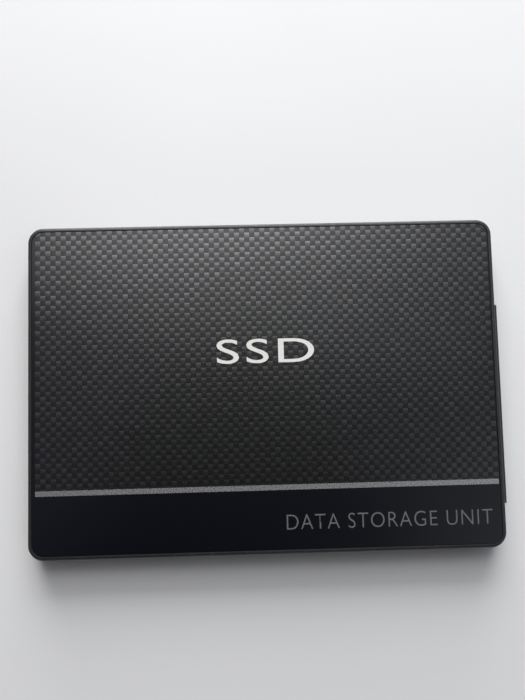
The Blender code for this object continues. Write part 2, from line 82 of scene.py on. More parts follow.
# Camera above the drive, almost square to it
CAMERA_AT = (-4.4, -6.3, 167.6)
CAMERA_TURN = (5.0, -1.2, -1.5)
CAMERA_LENS, CAMERA_SENSOR = 39.1, 36.0
CAMERA_SEES_FROM, CAMERA_SEES_TO = 0.005, 20.0  # metres

# Round table top
TABLE_RADIUS, TABLE_THICK = 1500, 30


# Shader tools ----------------------------------------------------------------

# Sockets of the Mix node for colours, and settings that many nodes share
SHARE, COLOUR_A, COLOUR_B = 0, 6, 7
AS_COLOUR = {"out": 2, "data_type": "RGBA"}
SOFT = {"interpolation_type": "SMOOTHSTEP"}


def colour(hex_value):
    """An sRGB hex colour as linear RGBA."""
    channels = [int(hex_value[i : i + 2], 16) / 255 for i in (0, 2, 4)]
    return [c / 12.92 if c <= 0.04045 else ((c + 0.055) / 1.055) ** 2.4 for c in channels] + [1.0]


def fill(tree, sockets, values):
    """Links or sets sockets, by name or by number."""
    for key, value in values.items() if isinstance(values, dict) else enumerate(values):
        if isinstance(value, bpy.types.NodeSocket):
            tree.links.new(value, sockets[key])
        else:
            sockets[key].default_value = colour(value) if isinstance(value, str) else value


def node(tree, kind, inputs=(), out=0, **settings):
    """Adds a node with its settings and links, and gives one of its outputs."""
    made = tree.nodes.new("ShaderNode" + kind)
    for key, value in settings.items():
        setattr(made, key, value)
    fill(tree, made.inputs, inputs)
    return made.outputs[out]


def new_material(name):
    """A material, its tree, and the surface point in millimetres in the drive's frame."""
    material = bpy.data.materials.new(name)
    material.use_nodes = True
    tree = material.node_tree
    metres = node(tree, "TexCoord", out=3)
    point = node(tree, "VectorMath", {0: metres, 3: 1 / MM}, operation="SCALE")
    return material, tree, point


def surface(material, values):
    """Sets and links the shader's own sockets."""
    shader = material.node_tree.nodes["Principled BSDF"]
    fill(material.node_tree, shader.inputs, values)
    return material


# Materials -------------------------------------------------------------------


def spark_textured_abs(name, base, worn, pit, roughness):
    """Black ABS out of a spark-eroded mould. The eye gets a dense satin black whose even pits blur
    every reflection, with paler rubbed specks along the upper edge that fingers and cartons touch."""
    material, tree, point = new_material(name)

    # The pits are drawn coarser than the real ones so that they show
    pits = node(tree, "TexNoise", {"Vector": point, "Scale": 1 / pit, "Detail": 3.0})
    flow = node(tree, "TexNoise", {"Vector": point, "Scale": 1 / 14.0, "Detail": 2.0})
    scuffs = node(tree, "TexNoise", {"Vector": point, "Scale": 1 / 0.9, "Detail": 6.0})
    height = node(tree, "SeparateXYZ", (point,), out=2)
    upper = node(tree, "MapRange", (height, 6.5, 6.95, 0.0, 1.0), **SOFT)
    rubbed = node(tree, "MapRange", (scuffs, 0.6, 0.72, 0.0, 0.6), **SOFT)
    rubbed = node(tree, "Math", (rubbed, upper), operation="MULTIPLY")
    clouds = node(tree, "MapRange", (flow, 0.35, 0.7, 0.0, 1.0), **SOFT)
    tone = node(tree, "Mix", {SHARE: clouds, COLOUR_A: base, COLOUR_B: worn}, **AS_COLOUR)
    tone = node(tree, "Mix", {SHARE: rubbed, COLOUR_A: tone, COLOUR_B: "4A4B4E"}, **AS_COLOUR)
    rough = node(tree, "MapRange", (flow, 0.3, 0.7, roughness - 0.04, roughness + 0.05), **SOFT)
    depth = node(tree, "Math", (pits, 0.008), operation="MULTIPLY")
    pitted = node(tree, "Bump", {"Distance": MM, "Height": depth})
    return surface(material, {"Base Color": tone, "Roughness": rough, "IOR": 1.54, "Normal": pitted})


def woven_print_film():
    """Satin polyester film printed like carbon cloth. The bright thread of each crossing mirrors the
    lamp from its crown, most at the edge that leans to +Y, and the thread beside it stays black. Each
    bright thread also has a painted highlight at its +Y edge and painted shade at its -Y edge."""
    material, tree, point = new_material("woven_print_film")
    x = node(tree, "SeparateXYZ", (point,), out=0)
    y = node(tree, "SeparateXYZ", (point,), out=1)
    offset = node(tree, "VectorMath", (point, (*CROSSING_AT, 0.0)), operation="SUBTRACT")
    grid = node(tree, "VectorMath", (offset, (*CROSSING, 1.0)), operation="DIVIDE")
    waves = node(tree, "VectorMath", (grid, (math.pi,) * 3), operation="MULTIPLY")
    waves = node(tree, "VectorMath", (waves,), operation="COSINE")
    wave_x = node(tree, "SeparateXYZ", (waves,), out=0)
    wave_y = node(tree, "SeparateXYZ", (waves,), out=1)
    checks = node(tree, "Math", (wave_x, wave_y), operation="MULTIPLY")
    bright = node(tree, "MapRange", (checks, -0.07, 0.05, 0.0, 1.0), **SOFT)

    # The metal starts just outside the bright thread, so that no half-metal edge glows
    plated = node(tree, "MapRange", (checks, -0.1, -0.01, 0.0, 1.0), **SOFT)

    # One number for each crossing, so that neighbours differ a little
    middle = node(tree, "VectorMath", (grid, (0.5, 0.5, 0.0)), operation="ADD")
    corner = node(tree, "VectorMath", (middle,), operation="FLOOR")
    luck = node(tree, "TexWhiteNoise", (corner,), noise_dimensions="2D")
    tint = node(tree, "MapRange", (luck, 0.0, 1.0, 0.9, 1.1))

    # Painted highlight and shade: each bright thread's colour is painted brighter at its upper (+Y)
    # edge, where the lamp catches it, and darker at its lower edge
    rise = node(tree, "VectorMath", (middle,), operation="FRACTION")
    rise = node(tree, "SeparateXYZ", (rise,), out=1)
    painted_top_highlight = node(tree, "MapRange", (rise, 0.0, 1.0, 0.78, 1.26))
    painted_top_highlight = node(tree, "Mix", {0: bright, 2: 1.0, 3: painted_top_highlight})
    tint = node(tree, "Math", (tint, painted_top_highlight), operation="MULTIPLY")

    # Strands of each thread, drawn coarser than the real hair-fine ones so that they show
    along_x = node(tree, "VectorMath", (point, (STRAND_LONG, STRAND, 1.0)), operation="DIVIDE")
    along_x = node(tree, "TexNoise", {"Vector": along_x, "Scale": 1.0, "Detail": 1.0})
    along_y = node(tree, "VectorMath", (point, (STRAND, STRAND_LONG, 1.0)), operation="DIVIDE")
    along_y = node(tree, "TexNoise", {"Vector": along_y, "Scale": 1.0, "Detail": 1.0})
    strands = node(tree, "Mix", {0: bright, 2: along_y, 3: along_x})
    streaks = node(tree, "MapRange", (strands, 0.3, 0.7, 0.88, 1.12), **SOFT)
    tint = node(tree, "Math", (tint, streaks), operation="MULTIPLY")

    # Crown of whichever thread is on top
    crown_x = node(tree, "Math", (wave_x,), operation="ABSOLUTE")
    crown_y = node(tree, "Math", (wave_y,), operation="ABSOLUTE")
    crown = node(tree, "Mix", {0: bright, 2: crown_x, 3: crown_y})
    crown = node(tree, "Math", (crown, THREAD_CROWN), operation="MULTIPLY")
    height = node(tree, "Math", (strands, STRAND_CROWN, crown), operation="MULTIPLY_ADD")

    # The cloth stops at a plain margin on both short sides and under the stripe
    inside = node(tree, "MapRange", (x, PRINT_BACK - 0.03, PRINT_BACK + 0.03, 0.0, 1.0), **SOFT)
    before = node(tree, "MapRange", (x, PRINT_FRONT - 0.03, PRINT_FRONT + 0.03, 1.0, 0.0), **SOFT)
    above = node(tree, "MapRange", (y, STRIPE_LOW + 0.4, STRIPE_LOW + 0.5, 0.0, 1.0), **SOFT)
    inside = node(tree, "Math", (inside, before), operation="MULTIPLY")
    inside = node(tree, "Math", (inside, above), operation="MULTIPLY")

    thread = {SHARE: bright, COLOUR_A: "151516", COLOUR_B: "646465"}
    thread = node(tree, "Mix", thread, **AS_COLOUR)
    thread = node(tree, "VectorMath", {0: thread, 3: tint}, operation="SCALE")
    tone = node(tree, "Mix", {SHARE: inside, COLOUR_A: "080B12", COLOUR_B: thread}, **AS_COLOUR)
    metal = node(tree, "Math", (plated, inside), operation="MULTIPLY")
    metal = node(tree, "Math", (metal, 0.92), operation="MULTIPLY")
    height = node(tree, "Math", (height, inside), operation="MULTIPLY")
    cloth = node(tree, "Bump", {"Distance": MM, "Height": height})
    finish = {"Base Color": tone, "Metallic": metal, "Roughness": 0.2, "IOR": 1.64, "Normal": cloth}
    return surface(material, finish)


def screen_ink(name, base, flake, share, roughness, metallic):
    """Ink pulled through a screen. The eye gets a flat edge-sharp colour with small uneven flakes, and
    a slightly rough skin from the screen."""
    material, tree, point = new_material(name)

    # Flakes and skin are both drawn coarser than the real ones so that they show
    flakes = node(tree, "TexVoronoi", {"Vector": point, "Scale": 1 / 0.16}, out=1)
    level = node(tree, "SeparateColor", (flakes,))
    level = node(tree, "Math", (level, share), operation="MULTIPLY")
    tone = node(tree, "Mix", {SHARE: level, COLOUR_A: base, COLOUR_B: flake}, **AS_COLOUR)
    skin = node(tree, "TexNoise", {"Vector": point, "Scale": 1 / 0.3, "Detail": 1.0})
    rough = node(tree, "MapRange", (skin, 0.3, 0.7, roughness - 0.05, roughness + 0.05), **SOFT)
    depth = node(tree, "Math", (skin, 0.0006), operation="MULTIPLY")
    skin = node(tree, "Bump", {"Distance": MM, "Height": depth})
    finish = {"Base Color": tone, "Metallic": metallic, "Roughness": rough, "Normal": skin}
    return surface(material, finish)


def coated_label_paper():
    """Coated label paper. The eye gets a cool white with faint fibre clouds and a dull gloss."""
    material, tree, point = new_material("coated_label_paper")

    # The fibres are drawn wider than the real ones so that they show
    lie = node(tree, "VectorMath", (point, (0.9, 0.25, 1.0)), operation="DIVIDE")
    fibres = node(tree, "TexNoise", {"Vector": lie, "Scale": 1.0, "Detail": 4.0})
    clouds = node(tree, "TexNoise", {"Vector": point, "Scale": 1 / 6.0, "Detail": 3.0})
    share = node(tree, "Math", (fibres, clouds), operation="MULTIPLY")
    share = node(tree, "MapRange", (share, 0.1, 0.45, 0.0, 1.0), **SOFT)
    tone = node(tree, "Mix", {SHARE: share, COLOUR_A: "DEDFE0", COLOUR_B: "C9CACC"}, **AS_COLOUR)
    rough = node(tree, "MapRange", (clouds, 0.3, 0.7, 0.48, 0.62), **SOFT)
    depth = node(tree, "Math", (fibres, 0.004), operation="MULTIPLY")
    fibred = node(tree, "Bump", {"Distance": MM, "Height": depth})
    return surface(material, {"Base Color": tone, "Roughness": rough, "Normal": fibred})


def turned_brass():
    """Brass off a lathe. The eye gets warm yellow metal with fine tool lines and brown tarnish."""
    material, tree, point = new_material("turned_brass")

    # The tool lines are wide arcs about the drive's middle, nearly straight on a block, and are drawn
    # coarser than the real feed of the lathe so that they show
    tarnish = node(tree, "TexNoise", {"Vector": point, "Scale": 1 / 2.5, "Detail": 4.0})
    share = node(tree, "MapRange", (tarnish, 0.45, 0.75, 0.0, 1.0), **SOFT)
    tone = node(tree, "Mix", {SHARE: share, COLOUR_A: "B9964F", COLOUR_B: "7E5F2E"}, **AS_COLOUR)
    rough = node(tree, "MapRange", (tarnish, 0.4, 0.8, 0.24, 0.45), **SOFT)
    wave = {"Vector": point, "Scale": 1 / 0.8, "Distortion": 0.6, "Detail": 2.0}
    lines = node(tree, "TexWave", wave, out=1, wave_type="RINGS", rings_direction="Z")
    depth = node(tree, "Math", (lines, 0.003), operation="MULTIPLY")
    turned = node(tree, "Bump", {"Distance": MM, "Height": depth})
    finish = {"Base Color": tone, "Metallic": 1.0, "Roughness": rough, "Normal": turned}
    return surface(material, finish)


def glass_filled_nylon():
    """Nylon with glass fibre. The eye gets a dull dark grey with short paler fibres in its skin."""
    material, tree, point = new_material("glass_filled_nylon")

    # The fibres are drawn thicker than the real hair-fine ones so that they show
    lie = node(tree, "VectorMath", (point, (0.12, 0.7, 0.12)), operation="DIVIDE")
    fibres = node(tree, "TexNoise", {"Vector": lie, "Scale": 1.0, "Detail": 3.0})
    share = node(tree, "MapRange", (fibres, 0.55, 0.75, 0.0, 1.0), **SOFT)
    tone = node(tree, "Mix", {SHARE: share, COLOUR_A: "232425", COLOUR_B: "3A3B3C"}, **AS_COLOUR)
    rough = node(tree, "MapRange", (fibres, 0.3, 0.7, 0.42, 0.58), **SOFT)
    depth = node(tree, "Math", (fibres, 0.006), operation="MULTIPLY")
    fibred = node(tree, "Bump", {"Distance": MM, "Height": depth})
    finish = {"Base Color": tone, "Roughness": rough, "IOR": 1.53, "Normal": fibred}
    return surface(material, finish)


def gold_flash_on_bronze():
    """Gold flash on rolled bronze strip. The eye gets a warm bright metal with rolling lines along
    each contact."""
    material, tree, point = new_material("gold_flash_on_bronze")

    # The rolling lines are drawn coarser than the real ones so that they show
    lie = node(tree, "VectorMath", (point, (3.0, 0.08, 0.08)), operation="DIVIDE")
    lines = node(tree, "TexNoise", {"Vector": lie, "Scale": 1.0, "Detail": 3.0})
    share = node(tree, "MapRange", (lines, 0.4, 0.8, 0.0, 1.0), **SOFT)
    tone = node(tree, "Mix", {SHARE: share, COLOUR_A: "DDB366", COLOUR_B: "B98B42"}, **AS_COLOUR)
    rough = node(tree, "MapRange", (lines, 0.3, 0.7, 0.18, 0.3), **SOFT)
    depth = node(tree, "Math", (lines, 0.002), operation="MULTIPLY")
    rolled = node(tree, "Bump", {"Distance": MM, "Height": depth})
    finish = {"Base Color": tone, "Metallic": 1.0, "Roughness": rough, "Normal": rolled}
    return surface(material, finish)


def soft_tin(name, base, shade):
    """Tin plate or set solder. The eye gets a soft grey-white metal with matt and bright patches."""
    material, tree, point = new_material(name)
    patches = node(tree, "TexNoise", {"Vector": point, "Scale": 1 / 0.5, "Detail": 4.0})
    share = node(tree, "MapRange", (patches, 0.4, 0.7, 0.0, 1.0), **SOFT)
    tone = node(tree, "Mix", {SHARE: share, COLOUR_A: base, COLOUR_B: shade}, **AS_COLOUR)
    rough = node(tree, "MapRange", (patches, 0.35, 0.7, 0.24, 0.48), **SOFT)
    depth = node(tree, "Math", (patches, 0.008), operation="MULTIPLY")
    lumpy = node(tree, "Bump", {"Distance": MM, "Height": depth})
    finish = {"Base Color": tone, "Metallic": 1.0, "Roughness": rough, "Normal": lumpy}
    return surface(material, finish)


def solder_masked_laminate():
    """Glass-fibre board under green mask. The eye gets glossy green with paler raised copper tracks
    and floods, tinned via rings with dark holes, and a straw-coloured cut edge."""
    material, tree, point = new_material("solder_masked_laminate")
    brick = {"Scale": 1.0, "Mortar Size": 0.1, "Mortar Smooth": 0.3}
    long_runs = {"Vector": point, "Brick Width": 5.2, "Row Height": 0.62, **brick}
    long_runs = node(tree, "TexBrick", long_runs, out=1)
    turned = {"Vector": point, "Angle": math.pi / 2}
    turned = node(tree, "VectorRotate", turned, rotation_type="Z_AXIS")
    cross_runs = {"Vector": turned, "Brick Width": 3.7, "Row Height": 0.71, **brick}
    cross_runs = node(tree, "TexBrick", cross_runs, out=1)
    area = node(tree, "TexNoise", {"Vector": point, "Scale": 1 / 7.0, "Detail": 0.0})
    lengthwise = node(tree, "MapRange", (area, 0.48, 0.485, 0.0, 1.0), **SOFT)
    tracks = node(tree, "Mix", {0: lengthwise, 2: cross_runs, 3: long_runs})
    flood = node(tree, "MapRange", (area, 0.58, 0.585, 0.0, 1.0), **SOFT)
    copper = node(tree, "Math", (tracks, flood), operation="MAXIMUM")
    drill = {"Vector": point, "Scale": 1 / 2.4, "Randomness": 0.75}
    drill = node(tree, "TexVoronoi", drill, voronoi_dimensions="2D")
    ring = node(tree, "MapRange", (drill, 0.10, 0.125, 1.0, 0.0), **SOFT)
    hole = node(tree, "MapRange", (drill, 0.045, 0.06, 1.0, 0.0), **SOFT)
    share = node(tree, "Math", (copper, 0.7), operation="MULTIPLY")
    tone = node(tree, "Mix", {SHARE: share, COLOUR_A: "123F27", COLOUR_B: "2A7A4B"}, **AS_COLOUR)
    tone = node(tree, "Mix", {SHARE: ring, COLOUR_A: tone, COLOUR_B: "8FA77A"}, **AS_COLOUR)
    tone = node(tree, "Mix", {SHARE: hole, COLOUR_A: tone, COLOUR_B: "161B15"}, **AS_COLOUR)
    height = node(tree, "SeparateXYZ", (point,), out=2)
    core = node(tree, "Math", (height, BOARD_TOP - 0.4), operation="SUBTRACT")
    core = node(tree, "Math", (core,), operation="ABSOLUTE")
    core = node(tree, "MapRange", (core, 0.34, 0.37, 1.0, 0.0), **SOFT)
    tone = node(tree, "Mix", {SHARE: core, COLOUR_A: tone, COLOUR_B: "9C9460"}, **AS_COLOUR)
    rough = node(tree, "MapRange", (core, 0.0, 1.0, 0.28, 0.7))
    raised = node(tree, "Math", (copper, 0.03), operation="MULTIPLY")
    raised = node(tree, "Math", (hole, -0.05, raised), operation="MULTIPLY_ADD")
    masked = node(tree, "Bump", {"Distance": MM, "Height": raised})
    finish = {"Base Color": tone, "Roughness": rough, "IOR": 1.55, "Normal": masked}
    return surface(material, finish)


def zinc_on_steel():
    """Zinc plate on steel screws. The eye gets a bluish bright metal with small spangles."""
    material, tree, point = new_material("zinc_on_steel")

    # The spangles are drawn coarser than the real ones so that they show
    spangle = node(tree, "TexVoronoi", {"Vector": point, "Scale": 1 / 0.35}, out=1)
    level = node(tree, "SeparateColor", (spangle,))
    tone = node(tree, "Mix", {SHARE: level, COLOUR_A: "AEB5BC", COLOUR_B: "CDD0D4"}, **AS_COLOUR)
    rough = node(tree, "MapRange", (level, 0.0, 1.0, 0.2, 0.4))
    depth = node(tree, "Math", (level, 0.004), operation="MULTIPLY")
    plated = node(tree, "Bump", {"Distance": MM, "Height": depth})
    finish = {"Base Color": tone, "Metallic": 1.0, "Roughness": rough, "Normal": plated}
    return surface(material, finish)


def moulded_chip_epoxy():
    """Transfer-moulded chip epoxy. The eye gets a warm matt black with an even sandy grain."""
    material, tree, point = new_material("moulded_chip_epoxy")

    # The sandy grain is drawn coarser than the real filler so that it shows
    sand = node(tree, "TexNoise", {"Vector": point, "Scale": 1 / 0.12, "Detail": 3.0})
    flow = node(tree, "TexNoise", {"Vector": point, "Scale": 1 / 5.0, "Detail": 3.0})
    share = node(tree, "MapRange", (flow, 0.35, 0.7, 0.0, 1.0), **SOFT)
    tone = node(tree, "Mix", {SHARE: share, COLOUR_A: "19191A", COLOUR_B: "232324"}, **AS_COLOUR)
    rough = node(tree, "MapRange", (sand, 0.3, 0.7, 0.48, 0.64), **SOFT)
    depth = node(tree, "Math", (sand, 0.01), operation="MULTIPLY")
    sandy = node(tree, "Bump", {"Distance": MM, "Height": depth})
    return surface(material, {"Base Color": tone, "Roughness": rough, "IOR": 1.55, "Normal": sandy})


def laser_etched_epoxy():
    """Laser-etched epoxy of a pin-one mark. The eye gets a paler, rougher grey than the chip."""
    material, tree, point = new_material("laser_etched_epoxy")

    # The etched pits are drawn coarser than the real ones so that they show
    etched = node(tree, "TexNoise", {"Vector": point, "Scale": 1 / 0.08, "Detail": 2.0})
    share = node(tree, "MapRange", (etched, 0.35, 0.65, 0.0, 1.0), **SOFT)
    tone = node(tree, "Mix", {SHARE: share, COLOUR_A: "4A4A4B", COLOUR_B: "5D5D5E"}, **AS_COLOUR)
    depth = node(tree, "Math", (etched, 0.006), operation="MULTIPLY")
    rough = node(tree, "Bump", {"Distance": MM, "Height": depth})
    return surface(material, {"Base Color": tone, "Roughness": 0.7, "IOR": 1.55, "Normal": rough})


def pressed_ferrite():
    """Pressed ferrite powder. The eye gets a mid grey, stony surface with darker metal grains."""
    material, tree, point = new_material("pressed_ferrite")

    # The grains are drawn coarser than the real powder so that they show
    grains = node(tree, "TexVoronoi", {"Vector": point, "Scale": 1 / 0.14}, out=1)
    level = node(tree, "SeparateColor", (grains,))
    share = node(tree, "MapRange", (level, 0.55, 1.0, 0.0, 1.0), **SOFT)
    tone = node(tree, "Mix", {SHARE: share, COLOUR_A: "515254", COLOUR_B: "2E2F31"}, **AS_COLOUR)
    rough = node(tree, "MapRange", (level, 0.0, 1.0, 0.5, 0.7))
    depth = node(tree, "Math", (level, 0.008), operation="MULTIPLY")
    stony = node(tree, "Bump", {"Distance": MM, "Height": depth})
    return surface(material, {"Base Color": tone, "Roughness": rough, "IOR": 1.8, "Normal": stony})


def moulded_tantalum_resin(bar_ends):
    """Ochre resin of tantalum capacitors. The eye gets a waxy ochre with a brown bar over one end
    that marks the positive side."""
    material, tree, point = new_material("moulded_tantalum_resin")
    x = node(tree, "SeparateXYZ", (point,), out=0)
    flow = node(tree, "TexNoise", {"Vector": point, "Scale": 1 / 1.4, "Detail": 3.0})
    share = node(tree, "MapRange", (flow, 0.35, 0.7, 0.0, 1.0), **SOFT)
    tone = node(tree, "Mix", {SHARE: share, COLOUR_A: "C98B2B", COLOUR_B: "B57A22"}, **AS_COLOUR)
    for start, end in bar_ends:
        far = node(tree, "Math", (x, (start + end) / 2), operation="SUBTRACT")
        far = node(tree, "Math", (far,), operation="ABSOLUTE")
        half = abs(end - start) / 2
        bar = node(tree, "MapRange", (far, half - 0.03, half + 0.03, 1.0, 0.0), **SOFT)
        tone = node(tree, "Mix", {SHARE: bar, COLOUR_A: tone, COLOUR_B: "5A3413"}, **AS_COLOUR)
    rough = node(tree, "MapRange", (flow, 0.3, 0.7, 0.38, 0.52), **SOFT)
    depth = node(tree, "Math", (flow, 0.01), operation="MULTIPLY")
    waxy = node(tree, "Bump", {"Distance": MM, "Height": depth})
    return surface(material, {"Base Color": tone, "Roughness": rough, "IOR": 1.56, "Normal": waxy})


def moulded_diode_epoxy(band_start, spacing):
    """Smooth black diode epoxy. The eye gets a shinier black than the chips, with a grey band that
    marks the cathode end of each diode in the row."""
    material, tree, point = new_material("moulded_diode_epoxy")

    # The grain is drawn coarser than the real filler so that it shows
    y = node(tree, "SeparateXYZ", (point,), out=1)
    along = node(tree, "Math", (y, band_start), operation="SUBTRACT")
    along = node(tree, "Math", (along, spacing), operation="FLOORED_MODULO")
    band = node(tree, "MapRange", (along, 0.38, 0.42, 1.0, 0.0), **SOFT)
    grain = node(tree, "TexNoise", {"Vector": point, "Scale": 1 / 0.2, "Detail": 3.0})
    tone = node(tree, "Mix", {SHARE: band, COLOUR_A: "1B1B1D", COLOUR_B: "8C8C88"}, **AS_COLOUR)
    rough = node(tree, "MapRange", (grain, 0.3, 0.7, 0.34, 0.46), **SOFT)
    depth = node(tree, "Math", (grain, 0.004), operation="MULTIPLY")
    smooth = node(tree, "Bump", {"Distance": MM, "Height": depth})
    return surface(material, {"Base Color": tone, "Roughness": rough, "IOR": 1.55, "Normal": smooth})


def fired_ceramic(name, base, shade, grain):
    """Fired ceramic of small components. The eye gets a dense, slightly speckled body with a faint
    glaze."""
    material, tree, point = new_material(name)

    # The specks are drawn coarser than the real ones so that they show
    specks = node(tree, "TexNoise", {"Vector": point, "Scale": 1 / grain, "Detail": 4.0})
    share = node(tree, "MapRange", (specks, 0.42, 0.68, 0.0, 1.0), **SOFT)
    tone = node(tree, "Mix", {SHARE: share, COLOUR_A: base, COLOUR_B: shade}, **AS_COLOUR)
    rough = node(tree, "MapRange", (specks, 0.3, 0.7, 0.3, 0.46), **SOFT)
    depth = node(tree, "Math", (specks, 0.006), operation="MULTIPLY")
    fired = node(tree, "Bump", {"Distance": MM, "Height": depth})
    return surface(material, {"Base Color": tone, "Roughness": rough, "IOR": 1.7, "Normal": fired})


def drawn_nickel_can():
    """Nickel-plated lid of the clock crystal. The eye gets a warm grey mirror with fine draw lines."""
    material, tree, point = new_material("drawn_nickel_can")

    # The draw lines are drawn coarser than the real ones so that they show
    lie = node(tree, "VectorMath", (point, (2.0, 0.05, 0.5)), operation="DIVIDE")
    lines = node(tree, "TexNoise", {"Vector": lie, "Scale": 1.0, "Detail": 3.0})
    tone = node(tree, "Mix", {SHARE: lines, COLOUR_A: "C9CBC6", COLOUR_B: "A9ABA6"}, **AS_COLOUR)
    rough = node(tree, "MapRange", (lines, 0.3, 0.7, 0.2, 0.36), **SOFT)
    depth = node(tree, "Math", (lines, 0.003), operation="MULTIPLY")
    drawn = node(tree, "Bump", {"Distance": MM, "Height": depth})
    finish = {"Base Color": tone, "Metallic": 1.0, "Roughness": rough, "Normal": drawn}
    return surface(material, finish)


def pale_laminate_table():
    """Pale laminate table top. The eye gets an even, slightly cool white with faint wide clouds."""
    material, tree, point = new_material("pale_laminate_table")
    clouds = node(tree, "TexNoise", {"Vector": point, "Scale": 1 / 120.0, "Detail": 3.0})
    share = node(tree, "MapRange", (clouds, 0.3, 0.7, 0.0, 1.0), **SOFT)
    tone = node(tree, "Mix", {SHARE: share, COLOUR_A: "E5E5E6", COLOUR_B: "E1E1E2"}, **AS_COLOUR)
    grain = node(tree, "TexNoise", {"Vector": point, "Scale": 1 / 0.8, "Detail": 2.0})
    depth = node(tree, "Math", (grain, 0.01), operation="MULTIPLY")
    pressed = node(tree, "Bump", {"Distance": MM, "Height": depth})
    return surface(material, {"Base Color": tone, "Roughness": 0.6, "Normal": pressed})


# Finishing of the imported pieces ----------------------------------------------

# Degrees that an edge turns: up to the first it is flat, from the second it is rounded, and below the
# third it is shaded smooth
FLAT_ANGLE, SHARP_ANGLE, SMOOTH_ANGLE = 1, 32, 40

# Corners of triangles closer than this are one
WELD_GAP = 0.0005


def smooth_below(angle):
    """Modifier tree that shades smooth across every edge that turns less than an angle."""
    tree = bpy.data.node_groups.new("smooth_below_angle", "GeometryNodeTree")
    tree.interface.new_socket("Geometry", in_out="INPUT", socket_type="NodeSocketGeometry")
    tree.interface.new_socket("Geometry", in_out="OUTPUT", socket_type="NodeSocketGeometry")
    start, end = tree.nodes.new("NodeGroupInput"), tree.nodes.new("NodeGroupOutput")
    faces = tree.nodes.new("GeometryNodeSetShadeSmooth")
    edges = tree.nodes.new("GeometryNodeSetShadeSmooth")
    edges.domain = "EDGE"
    turn = tree.nodes.new("GeometryNodeInputMeshEdgeAngle")
    gentle = tree.nodes.new("FunctionNodeCompare")
    gentle.operation = "LESS_THAN"
    gentle.inputs["B"].default_value = math.radians(angle)
    tree.links.new(turn.outputs["Unsigned Angle"], gentle.inputs["A"])
    tree.links.new(start.outputs[0], faces.inputs["Geometry"])
    tree.links.new(faces.outputs[0], edges.inputs["Geometry"])
    tree.links.new(gentle.outputs["Result"], edges.inputs["Shade Smooth"])
    tree.links.new(edges.outputs[0], end.inputs[0])
    return tree


SMOOTH = smooth_below(SMOOTH_ANGLE)


def shade_smooth(piece):
    """Shades a piece smooth over gentle turns, and keeps its flat faces flat."""
    piece.modifiers.new("smooth", "NODES").node_group = SMOOTH
    piece.modifiers.new("flat_faces", "WEIGHTED_NORMAL").keep_sharp = True


def soften_edges(piece, radius):
    """Gives a piece the small radius that its tool leaves on every edge."""
    bevel = piece.modifiers.new("tool_radius", "BEVEL")
    bevel.width = radius * MM
    bevel.segments = 2
    bevel.limit_method = "ANGLE"
    bevel.angle_limit = math.radians(SHARP_ANGLE)
    bevel.use_clamp_overlap = True


def dress(cad_nodes, material, radius):
    """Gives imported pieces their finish, with coplanar triangles joined before edges are softened."""
    for name in cad_nodes:
        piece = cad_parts[name]
        piece.data.materials.clear()
        piece.data.materials.append(material)
        piece.modifiers.new("weld", "WELD").merge_threshold = WELD_GAP * MM
        joined = piece.modifiers.new("join_flats", "DECIMATE")
        joined.decimate_type = "DISSOLVE"
        joined.angle_limit = math.radians(FLAT_ANGLE)
        soften_edges(piece, radius)
        shade_smooth(piece)


# Mesh tools for the pieces that are made here --------------------------------


def rounded_box_outline(x0, x1, y0, y1, radius, steps):
    """Corner points of a rectangle with rounded corners, anticlockwise."""
    centres = ((x1 - radius, y1 - radius, 0), (x0 + radius, y1 - radius, 1),
               (x0 + radius, y0 + radius, 2), (x1 - radius, y0 + radius, 3))
    points = []
    for x, y, quarter in centres:
        for i in range(steps + 1):
            turn = math.radians(90 * (quarter + i / steps))
            points.append((x + radius * math.cos(turn), y + radius * math.sin(turn)))
    return points


def round_outline(x, y, radius, sides):
    """Corner points of a many-sided disc, anticlockwise."""
    turns = [2 * math.pi * i / sides for i in range(sides)]
    return [(x + radius * math.cos(turn), y + radius * math.sin(turn)) for turn in turns]


def stack(rings):
    """Closed solid through level rings, each an outline and its height."""
    points = [(x, y, z) for outline, z in rings for x, y in outline]
    count = len(rings[0][0])
    faces = [tuple(reversed(range(count)))]
    for level in range(len(rings) - 1):
        for i in range(count):
            a, b = level * count + i, level * count + (i + 1) % count
            faces.append((a, b, b + count, a + count))
    faces.append(tuple(range(len(points) - count, len(points))))
    return points, faces


def slab(x0, x1, y0, y1, z0, z1, radius, edge=0.0, steps=3):
    """Plate with rounded corners, and an optional chamfer round its top."""
    rings = [(rounded_box_outline(x0, x1, y0, y1, radius, steps), z0)]
    rings.append((rings[0][0], z1 - edge))
    if edge:
        inner = rounded_box_outline(x0 + edge, x1 - edge, y0 + edge, y1 - edge, radius, steps)
        rings.append((inner, z1))
    return stack(rings)


def new_piece(name, solids, material, body):
    """A named piece of closed solids that moves with a body."""
    points, faces = [], []
    for solid_points, solid_faces in solids:
        first = len(points)
        points += [tuple(value * MM for value in point) for point in solid_points]
        faces += [tuple(first + i for i in face) for face in solid_faces]
    mesh = bpy.data.meshes.new(name)
    mesh.from_pydata(points, [], faces)
    finished_piece(name, mesh, material, body)


def finished_piece(name, mesh, material, body):
    """Puts a finished mesh in the scene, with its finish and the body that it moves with."""
    mesh.materials.clear()
    mesh.materials.append(material)
    piece = bpy.data.objects.new(name, mesh)
    bpy.context.scene.collection.objects.link(piece)
    shade_smooth(piece)
    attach(piece, body)


# Print on the face and on the label ------------------------------------------


